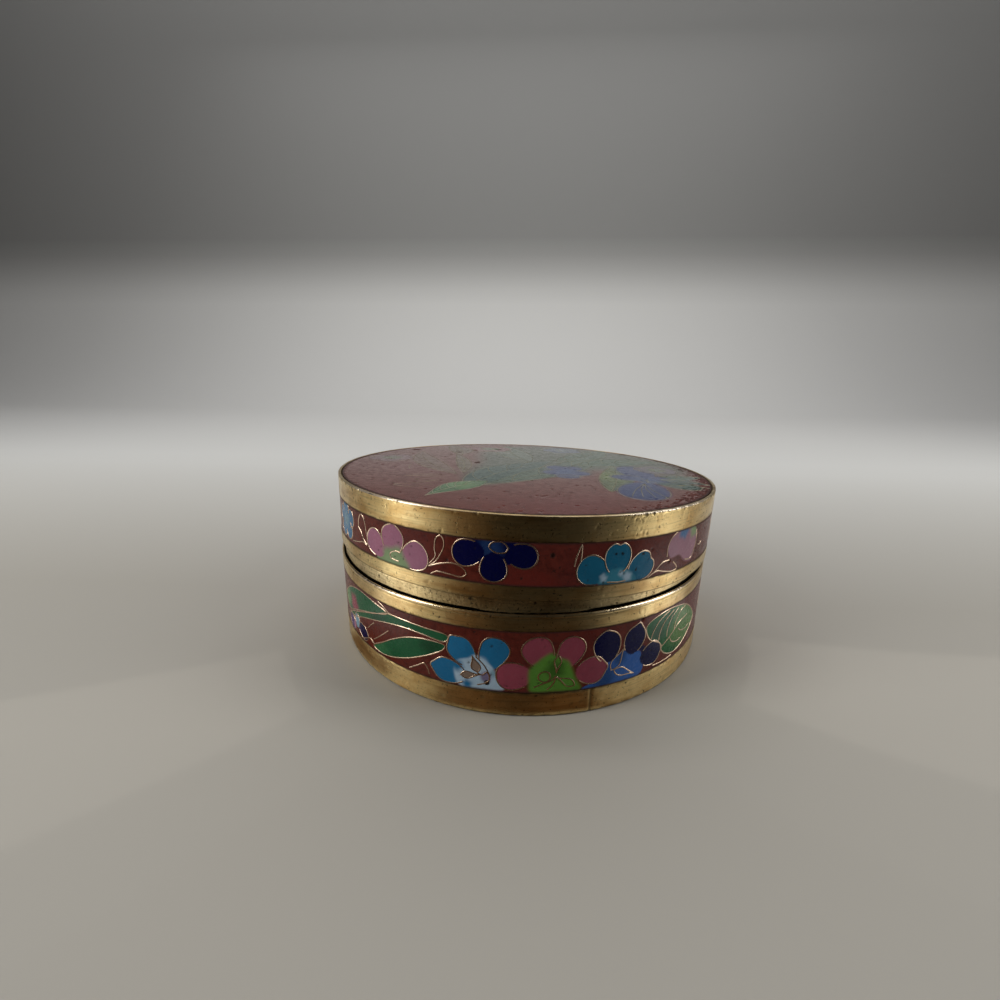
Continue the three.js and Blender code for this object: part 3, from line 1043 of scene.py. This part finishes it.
def weathered(piece, spots, seed, grimy=(), wave=0.012, skin=RADIUS - 0.6, edge_highlight=None, front=0.0):
    """Presses dents and chips into a turned piece's outer skin and notes where dirt lies, where a painted dark
    reflection lies and where a painted highlight lies.
    grimy holds (height, reach, strength) lines of dirt round the piece, and the highlight argument the height of
    the one edge with a painted highlight and how far down it reaches. front is how strongly the painted dark
    reflection clouds the very front."""
    points = points_of(piece) / MM
    reach = np.hypot(points[:, 0], points[:, 1])
    along = np.arctan2(points[:, 0], -points[:, 1]) * RADIUS
    flat = np.stack([along, points[:, 2]], 1)
    depth = dimples(flat, spots)
    cut = np.where(reach > skin, depth + wave * (1 + waves(along, points[:, 2], seed, 40)), 0)
    scale = np.where(reach > 0, 1 - cut / np.maximum(reach, 1e-6), 1)
    points[:, :2] *= scale[:, None]
    put_points(piece, points * MM)
    grime_and_shade = np.minimum(depth / 0.12, 1) * 0.7
    for height, spread, strength in grimy:
        ragged = spread * (1 + 0.5 * waves(along, points[:, 2], seed + 1, 120))
        grime_and_shade = np.maximum(grime_and_shade, strength * fade(abs(points[:, 2] - height), 0.2 * spread, ragged + 0.01))
    # A painted dark reflection: darker clouds over the very front of the band.
    if front:
        front_dark_reflection = np.clip(0.75 + 0.5 * waves(along, points[:, 2], seed + 2, 12), 0, 1)
        grime_and_shade = np.maximum(grime_and_shade, front * front_dark_reflection * fade(abs(along / RADIUS - math.radians(1)), 0.03, 0.17))
    note(piece, "GrimeAndShade", grime_and_shade)
    # A painted highlight: a pale stripe down from the top edge, brightest at the two angles where the lamps catch
    # the bands and faint elsewhere.
    if edge_highlight is not None:
        sides = [fade(abs(along / RADIUS - math.radians(angle)), 0.1, 0.42) for angle in HIGHLIGHT_AT]
        note(piece, "EdgeHighlight", fade(edge_highlight[0] - points[:, 2], 0.1, edge_highlight[1]) * (reach > skin)
             * np.maximum(0.15, sides[0] + sides[1]))


def note(piece, name, amounts):
    marks = piece.data.attributes.new(name, "FLOAT", "POINT")
    marks.data.foreach_set("value", np.clip(amounts, 0, 1).astype(np.float32))


def foot_band():
    top, seam = FOOT_TOP, around(17.5)
    profile = (rounded(SKIN - 0.45, 0.45, 0.45, -90)
               + rows(SKIN, 0.45, top - 0.2)[1:-1]
               + rounded(SKIN - 0.2, top - 0.2, 0.2, 0, steps=3)
               + [(RADIUS - WALL, top), (RADIUS - WALL, 0.7), (FOOT_INNER, 0.7), (FOOT_INNER, 0.1),
                  (FOOT_INNER + 0.1, 0)])
    piece = spun("foot_band", profile)
    dents = scattered(31, 90, 0.2, top, (0.25, 0.6), (0.02, 0.08))
    slit = [(seam + 0.05 * math.sin(2 * i), 0.2 + 0.25 * i, 0.3, 0.16) for i in range(22)]
    weathered(piece, dents + slit, 11, grimy=((top, 0.35, 0.9), (0, 0.7, 0.8)), front=0.25)
    return finish(piece, BASE_PLACE, BRASS, ["base_foot_band"])


def rim_band():
    low, top = RIM_BOTTOM, RIM_TOP
    groove = [(SKIN, top - 0.9), (SKIN - 0.05, top - 0.8), (SKIN - 0.05, top - 0.72), (SKIN, top - 0.62)]
    profile = ([(RADIUS - WALL, low)] + rounded(SKIN - 0.12, low + 0.12, 0.12, -90, steps=2)
               + rows(SKIN, low + 0.12, top - 0.9, step=0.3)[1:-1] + groove
               + rounded(SKIN - 0.38, top - 0.38, 0.38, 0, steps=7)
               + [(RADIUS - WALL, top - 0.5)])
    piece = spun("rim_band", profile, turns=1080)
    dents = scattered(32, 150, low, top, (0.15, 0.4), (0.015, 0.06))
    nicks = scattered(33, 60, top - 0.3, top, (0.12, 0.3), (0.02, 0.06))
    grimy = ((low, 0.3, 0.9), (top - 0.76, 0.1, 0.5))
    weathered(piece, dents + nicks, 12, grimy, edge_highlight=(top, 0.5), front=0.5)
    return finish(piece, BASE_PLACE, BRASS, ["base_rim_band"])


def cup_and_collar():
    """The thin cup whose wall stands up above the rim band as the collar. Its foot is drawn in and marked black,
    dirt and painted shade in the joint, so an open joint runs above the rim band, all but closed at the front
    where the collar is pressed against the band."""
    radius, top, low = COLLAR_RADIUS, COLLAR_TOP, CUP_BOTTOM
    inner, foot = radius - CUP_WALL, RIM_TOP + 0.38
    profile = ([(0, low), (radius, low), (radius, RIM_BOTTOM)]
               + rows(radius, RIM_TOP - 1.4, foot - 0.1, step=0.16) + rows(radius, foot, top - 0.9, step=0.16)
               + [(radius - 0.12, top - 0.55), (radius - 0.42, top - 0.15), (radius - 0.6, top),
                  (inner + 0.12, top), (inner, top - 0.12), (inner, low + 2 * CUP_WALL),
                  (inner - CUP_WALL, low + CUP_WALL), (0, low + CUP_WALL)])
    piece = spun("cup_and_collar", profile, turns=1080)
    points = points_of(piece) / MM
    reach = np.hypot(points[:, 0], points[:, 1])
    angle = np.arctan2(points[:, 0], -points[:, 1])
    height = points[:, 2]
    wall = (reach > radius - 0.3) & (height > RIM_BOTTOM + 0.1)
    shut = fade(abs(np.degrees(angle) - PRESSED_AT), 9, 16)
    drawn_in = 0.35 * (1 - shut) * (height < foot - 0.05)
    pressed = 0.25 * shut * fade(abs(height - RIM_TOP + 0.4), 0.3, 1.0)
    points[:, :2] *= (1 + wall * (pressed - drawn_in) / np.maximum(reach, 1))[:, None]
    put_points(piece, points * MM)
    scuffs = scattered(34, 1100, foot, top, (0.1, 0.24), (0.015, 0.06))
    weathered(piece, scuffs, 13, wave=0.02, skin=radius - 0.3)
    # Below this wavy edge the collar's foot is marked fully dark, which the brass turns black: dirt and painted
    # shade in the joint.
    edge = foot - 0.08 - 0.2 * shut + 0.04 * waves(angle * RADIUS, height, 51, 150)
    dirt = piece.data.attributes["GrimeAndShade"].data
    marks = np.zeros(len(points), np.float32)
    dirt.foreach_get("value", marks)
    marks = np.maximum(marks, fade(height, edge, edge + 0.1) * (reach > inner + 0.1))
    dirt.foreach_set("value", marks.astype(np.float32))
    return finish(piece, BASE_PLACE, COLLAR_BRASS, ["base_body"])


def lower_band():
    top = LOWER_BAND_TOP + GAP
    profile = (rounded(SKIN - 0.2, 0.2, 0.2, -90, steps=3) + rows(SKIN, 0.2, top - 0.12, step=0.28)[1:-1]
               + rounded(SKIN - 0.12, top - 0.12, 0.12, 0, steps=2)
               + [(RADIUS - WALL, top), (RADIUS - WALL, 0.08), (RADIUS - WALL + 0.08, 0)])
    piece = spun("lower_band", profile)
    dents = scattered(35, 150, 0, top, (0.15, 0.42), (0.015, 0.07))
    weathered(piece, dents, 14, grimy=((top, 0.3, 0.9), (0.15, 0.3, 0.6)), front=0.3)
    return finish(piece, LID_PLACE, BRASS, ["lid_lower_band"])


def upper_band():
    """The lid's top band, chipped and pitted along its upper edge, most of all at the front right."""
    low, top = UPPER_BAND_BOTTOM - GAP, UPPER_BAND_TOP
    profile = ([(RADIUS - LID_SKIN, low)] + rounded(SKIN - 0.12, low + 0.12, 0.12, -90, steps=2)
               + rows(SKIN, low + 0.12, top - 1.2, step=0.3)[1:-1] + rows(SKIN, top - 1.2, top - 0.16, step=0.16)
               + rounded(SKIN - 0.16, top - 0.16, 0.16, 0, steps=3)[1:] + [(RADIUS - LID_SKIN, top)])
    piece = spun("upper_band", profile, turns=1440)
    dents = scattered(36, 160, low, top, (0.15, 0.4), (0.015, 0.06))
    pits = scattered(37, 150, top - 2.0, top, (0.09, 0.18), (0.03, 0.08), span=(22, 60))
    chips = scattered(38, 90, top - 0.25, top + 0.1, (0.15, 0.45), (0.05, 0.15))
    chips += scattered(39, 40, top - 0.3, top + 0.1, (0.2, 0.5), (0.08, 0.2), span=(24, 70))
    weathered(piece, dents + pits + chips, 15, grimy=((low, 0.3, 0.9), (top + 0.05, 0.2, 0.3)), edge_highlight=(top, 0.3))
    return finish(piece, LID_PLACE, BRASS, ["lid_upper_band"])


def lid_cap():
    outer = RADIUS - WALL - 0.04
    low, plate = LOWER_BAND_TOP + GAP, UPPER_BAND_TOP - 1.3
    profile = [(0, plate), (0, CEILING), (CAP_INNER - 0.8, CEILING), (CAP_INNER, CEILING - 0.8), (CAP_INNER, low),
               (outer, low), (outer, plate)]
    piece = spun("lid_cap", profile, PLAIN_TURNS)
    note(piece, "GrimeAndShade", np.zeros(len(piece.data.vertices)))
    return finish(piece, LID_PLACE, COLLAR_BRASS, ["lid_body"])


# -------- the enamel and its wires

def side_pits(seed, heights, named):
    """The pits that stand out, and small ones strewn over the whole band."""
    return named + scattered(seed, 170, *heights, (0.12, 0.3), (0.03, 0.12))


def base_enamel(picture):
    pits = side_pits(41, BASE_ENAMEL, [(*spot(30.2, 19.0), 0.5, 0.2), (*spot(-9.6, 18.4), 0.25, 0.1)])
    piece = side_enamel("base_enamel", (FOOT_TOP, RIM_BOTTOM), picture, pits, 21)
    return finish(piece, BASE_PLACE, SIDE_ENAMEL, ["base_side_enamel"], degrees=60)


def lid_enamel(picture):
    pits = side_pits(42, LID_ENAMEL, [(*spot(6.5, 9.2), 0.5, 0.25), (*spot(36.6, 5.6), 0.4, 0.2)])
    piece = side_enamel("lid_enamel", LID_ENAMEL, picture, pits, 22)
    return finish(piece, LID_PLACE, SIDE_ENAMEL, ["lid_side_enamel"], degrees=60)


def side_wires(name, picture, heights, place):
    low, high = heights

    def on_side(flat):
        flat[:, 1] = np.clip(flat[:, 1], low + 0.1, high - 0.1)
        flat[:, 2] = np.minimum(flat[:, 2] - 0.13, -0.015)
        return wrapped(flat, RADIUS)

    piece = wire_work(name, picture, on_side)
    return finish(piece, place, WIRES, degrees=60)


def top_enamel(picture):
    """The lid's top: a fine square sheet eased into a round one, painted and worn."""
    piece = fine_sheet("top_enamel", TOP_GRID, TOP_GRID, 2)
    square = points_of(piece)
    x, y = square[:, 0], square[:, 1]
    flat = np.stack([x * np.sqrt(1 - y ** 2 / 2), y * np.sqrt(1 - x ** 2 / 2)], 1) * TOP_RADIUS
    tint(piece, painted(flat, picture, BRICK))
    reach = np.hypot(*flat.T)
    draw = random.Random(43)

    def pit(angle, out, sizes, depths):
        return out * math.sin(angle), -out * math.cos(angle), draw.uniform(*sizes), draw.uniform(*depths)

    spots = [(-37, 25, 1.4, 0.14), (-22, 22, 1.2, 0.1), (-9, 32, 1.3, 0.12), (-17, 28, 1.0, 0.12),
             (-13.5, 2, 0.9, 0.16), (35, 32, 1.3, 0.1), (46, 5, 0.8, 0.12), (38.5, -18, 0.8, 0.14)]
    for _ in range(240):
        angle, out = draw.uniform(-math.pi, math.pi), TOP_RADIUS * draw.uniform(0.05, 1) ** 0.5
        spots.append(pit(angle, out, (0.2, 0.45), (0.03, 0.09)))
    for _ in range(520):
        angle, out = math.radians(draw.gauss(70, 20)), TOP_RADIUS - abs(draw.gauss(0, 1.9))
        spots.append(pit(angle, out, (0.15, 0.34), (0.08, 0.2)))
    depth = dimples(flat, spots)
    height = UPPER_BAND_TOP + crowned(flat) - 0.02 - depth
    put_points(piece, np.stack([flat[:, 0], flat[:, 1], height], 1) * MM)
    ragged = waves(np.arctan2(flat[:, 0], -flat[:, 1]) * RADIUS, reach, 52, 200)
    edge = fade(TOP_RADIUS - reach, 0.1, 1.0 + 0.5 * ragged) * 0.85
    note(piece, "GrimeAndShade", np.maximum(np.minimum(depth / 0.14, 1) * 0.75, edge))
    extrude_border(piece, TRANSFORM_OT_translate={"value": (0, 0, -0.8 * MM)})
    bpy.ops.mesh.edge_face_add()
    leave_edit()
    mend(piece, reach=0.001)
    return finish(piece, LID_PLACE, TOP_ENAMEL, ["lid_top_enamel"], degrees=60)


def top_wires(picture):
    def on_top(flat):
        reach = np.maximum(np.hypot(flat[:, 0], flat[:, 1]), 1e-6)
        flat[:, :2] *= np.minimum(1, (TOP_RADIUS - 0.2) / reach)[:, None]
        flat[:, 2] = np.minimum(flat[:, 2] - 0.14, -0.008) + UPPER_BAND_TOP + crowned(flat)
        return flat

    piece = wire_work("top_wires", picture, on_top, thick=0.16)
    return finish(piece, LID_PLACE, DULL_WIRES, degrees=60)


# -------- the plain enamel inside and underneath

def base_lining():
    """A skin of blue enamel over the cup's floor and up its wall."""
    floor, wall, top = CUP_BOTTOM + CUP_WALL, COLLAR_RADIUS - CUP_WALL, COLLAR_TOP - 0.8
    outer = [(0, floor + 0.02), (wall - 1.1, floor + 0.02), (wall - 0.02, floor + 1.1), (wall - 0.02, top)]
    inner = [(wall - 0.2, top), (wall - 0.25, floor + 2.4), (wall - 0.9, floor + 1.0), (wall - 2.4, floor + 0.25),
             (0, floor + 0.25)]
    piece = spun("base_lining", outer + inner, PLAIN_TURNS)
    return finish(piece, BASE_PLACE, LINING)


def lid_lining():
    """The same under the lid's plate and down its wall."""
    top, wall, low = CEILING, CAP_INNER, LOWER_BAND_TOP + 0.6
    outer = [(0, top - 0.02), (wall - 0.9, top - 0.02), (wall - 0.02, top - 0.9), (wall - 0.02, low)]
    inner = [(wall - 0.2, low), (wall - 0.25, top - 2.2), (wall - 0.9, top - 0.95), (wall - 2.2, top - 0.25),
             (0, top - 0.25)]
    piece = spun("lid_lining", outer + inner, PLAIN_TURNS)
    return finish(piece, LID_PLACE, LINING)


def underside_enamel():
    """The disc of blue enamel inside the foot, a little higher than the foot's rim."""
    out = FOOT_INNER - 0.1
    profile = [(0, CUP_BOTTOM), (0, 0.45), (out - 0.6, 0.45), (out, 0.6), (out, CUP_BOTTOM)]
    piece = spun("underside_enamel", profile, PLAIN_TURNS)
    return finish(piece, BASE_PLACE, LINING)


# -------- putting the box together

base_art = base_picture()
lid_art = lid_side_picture()
top_art = top_picture()
foot_band()
cup_and_collar()
rim_band()
base_enamel(base_art)
side_wires("base_wires", base_art, (FOOT_TOP, RIM_BOTTOM), BASE_PLACE)
base_lining()
underside_enamel()
lid_cap()
lower_band()
upper_band()
lid_enamel(lid_art)
side_wires("lid_wires", lid_art, LID_ENAMEL, LID_PLACE)
top_enamel(top_art)
top_wires(top_art)
lid_lining()


# -------- table, light and camera

CLOTH = np.array((0.48, 0.45, 0.405))
# Colours of the cards that only reflections see: a painted dark reflection, and a painted warm reflection close
# to the box.
CARD_DARK_REFLECTION = np.array((0.010, 0.007, 0.004))
CARD_WARM_REFLECTION = np.array((0.16, 0.078, 0.028))


def table_and_backdrop():
    """A pale cloth that lies flat under the box and sweeps up behind it. Its colour holds painted light and
    shade: it is painted lightest behind the box, darker again higher up, and darker under and in front of the
    box."""
    flat_to, bend_radius, length = 0.75, 0.35, 5.2
    sheet = fine_sheet("table_sheet", 1, 130, 2)
    shades = []
    for corner in sheet.data.vertices:
        along = (corner.co.y + 1) / 2 * length - length / 2
        bend = min(max((along - flat_to) / 0.55, 0), 1) * math.pi / 2
        corner.co = (corner.co.x * 3.2, min(along, flat_to) + bend_radius * math.sin(bend),
                     bend_radius * (1 - math.cos(bend)) + max(along - 1.3, 0))
        # Painted light and shade: lighter behind the box, darker higher up the backdrop and darker again under
        # and in front of the box.
        light = np.array((0.82, 0.81, 0.79)) * (1 - 0.6 * fade(-corner.co.z, -0.42, -0.24))
        back = min(max(along / 0.22, 0), 1)
        shades.append((*(CLOTH * (1 - back) + light * back), 1))
    tint(sheet, np.array(shades))
    soften(sheet, 60)
    cloth = Finish("pale cloth", Roughness=0.7)
    cloth.colour(cloth.attribute("Glaze", "Color"))
    sheet.data.materials.append(cloth.material)


def lamp(name, azimuth, distance, height, width, tall, power, colour=(1, 1, 1), aim=(0, 0, 0.03)):
    """A soft light, placed by how far round the box it stands from the front."""
    angle = math.radians(azimuth)
    place = Vector((distance * math.sin(angle), -distance * math.cos(angle), height))
    bpy.ops.object.light_add(type="AREA", location=place)
    light = bpy.context.object
    light.name = name
    light.data.shape = "RECTANGLE"
    light.data.size = width
    light.data.size_y = tall
    light.data.energy = power
    light.data.color = colour
    light.rotation_euler = (Vector(aim) - place).to_track_quat("-Z", "Y").to_euler()


def lights():
    for name, azimuth, power in (("left light", -68, 2.2), ("right light", 83, 1.6)):
        lamp(name, azimuth, 0.6, 0.33, 0.2, 0.64, power, (0.98, 0.99, 0.95))
    lamp("top light", 180, 0.55, 1.1, 1.4, 1.0, 4)
    lamp("back light", 180, 0.3, 1.6, 2.4, 0.4, 9.5, aim=(0, 1.6, 0.5))
    world = bpy.data.worlds.new("room")
    bpy.context.scene.world = world
    world.use_nodes = True
    sky = world.node_tree.nodes["Background"]
    sky.inputs["Color"].default_value = (1, 0.98, 0.95, 1)
    sky.inputs["Strength"].default_value = 0.03


def reflected_card(name, edges, near, far, tall, material, brown=0.0):
    """A card on the table that turns up at its far end, and that only reflections see: a painted reflection.
    edges gives its first and last degree round the box, close to the box and at its far end."""
    card = fine_sheet(name, 48, 24, 1)
    marks = []
    for corner in card.data.vertices:
        along = (corner.co.y + 0.5) ** 2 * (far - near + tall)
        reach, rise = near + min(along, far - near), max(along - far + near, 0)
        spread = min((reach - near) / 0.11, 1)
        first, last = (close + (away - close) * spread for close, away in edges)
        across = (last - first) * (corner.co.x + 0.5)
        angle = math.radians(first + across)
        corner.co = (reach * math.sin(angle), -reach * math.cos(angle), 0.0006 + rise)
        inwards = min(across, last - first - across)
        # Painted reflections: brown close to the box and, where brown is given, towards the card's left edge,
        # near black elsewhere, and blending into the cloth at its sides close to the box.
        warm_reflection = max(fade(reach, 0.052, 0.08), brown * fade(across, 6, 24))
        shade = CARD_DARK_REFLECTION + (CARD_WARM_REFLECTION - CARD_DARK_REFLECTION) * warm_reflection
        beside = fade(inwards, 0, 7) * fade(reach, 0.058, 0.075)
        marks.append((*(shade * (1 - beside) + CLOTH * beside), 1))
    tint(card, np.array(marks))
    card.data.materials.append(material)
    card.visible_camera = card.visible_diffuse = card.visible_shadow = card.visible_transmission = False


def cards():
    """Cards that only reflections see: a dark one in front, a painted dark reflection that turns brown close to
    the box and at its left edge as a painted warm reflection, a dark one at the left as painted shade on the
    table beside the box, and a glowing one to either side as a painted highlight.
    """
    dark = Finish("dark card", Roughness=0.9)
    dark.colour(dark.attribute("Glaze", "Color"))
    reflected_card("dark_card", ((-24, -39), (23, 56)), 0.0505, 0.36, 0.5, dark.material, brown=0.75)
    # Painted shade on the table just left of the box, seen only in reflections.
    reflected_card("shade_card", ((-64, -64), (-33, -33)), 0.0505, 0.06, 0, dark.material)
    # Glowing cards that are no lamps: painted highlights in the reflections on the rim and foot bands.
    bright = Finish("bright card", Emission_Color=(1, 0.97, 0.92, 1), Emission_Strength=0.5)
    reflected_card("bright_card_left", ((-62, -66), (-40, -46)), 0.066, 0.13, 0, bright.material)
    reflected_card("bright_card_right", ((48, 62), (74, 84)), 0.063, 0.13, 0, bright.material)


EYE_PLACE = Vector((0, -122.475, 65.23))  # from the middle of the box's foot
EYE_ANGLES = (15.51, 0.607, -2.847)       # pitch down, roll and yaw, in degrees
LENS = 15.61                              # focal length on a 36 mm film


def camera():
    """Close in front of the box with a very wide lens, a hand's width above the table."""
    pitch, roll, yaw = (math.radians(angle) for angle in EYE_ANGLES)
    ahead = Vector((math.sin(yaw) * math.cos(pitch), math.cos(yaw) * math.cos(pitch), -math.sin(pitch)))
    level = Vector((math.cos(yaw), -math.sin(yaw), 0))
    upward = level.cross(ahead)
    right = level * math.cos(roll) + upward * math.sin(roll)
    upward = upward * math.cos(roll) - level * math.sin(roll)
    bpy.ops.object.camera_add()
    eye = bpy.context.object
    eye.name = "camera"
    eye.data.sensor_width = 36
    eye.data.lens = LENS
    eye.data.clip_start = 0.005
    turn = Matrix((right, upward, -ahead)).transposed()
    eye.matrix_world = Matrix.Translation(BASE_MIDDLE + EYE_PLACE * MM) @ turn.to_4x4()
    bpy.context.scene.camera = eye


table_and_backdrop()
lights()
cards()
camera()
bpy.context.scene.view_settings.view_transform = "Standard"
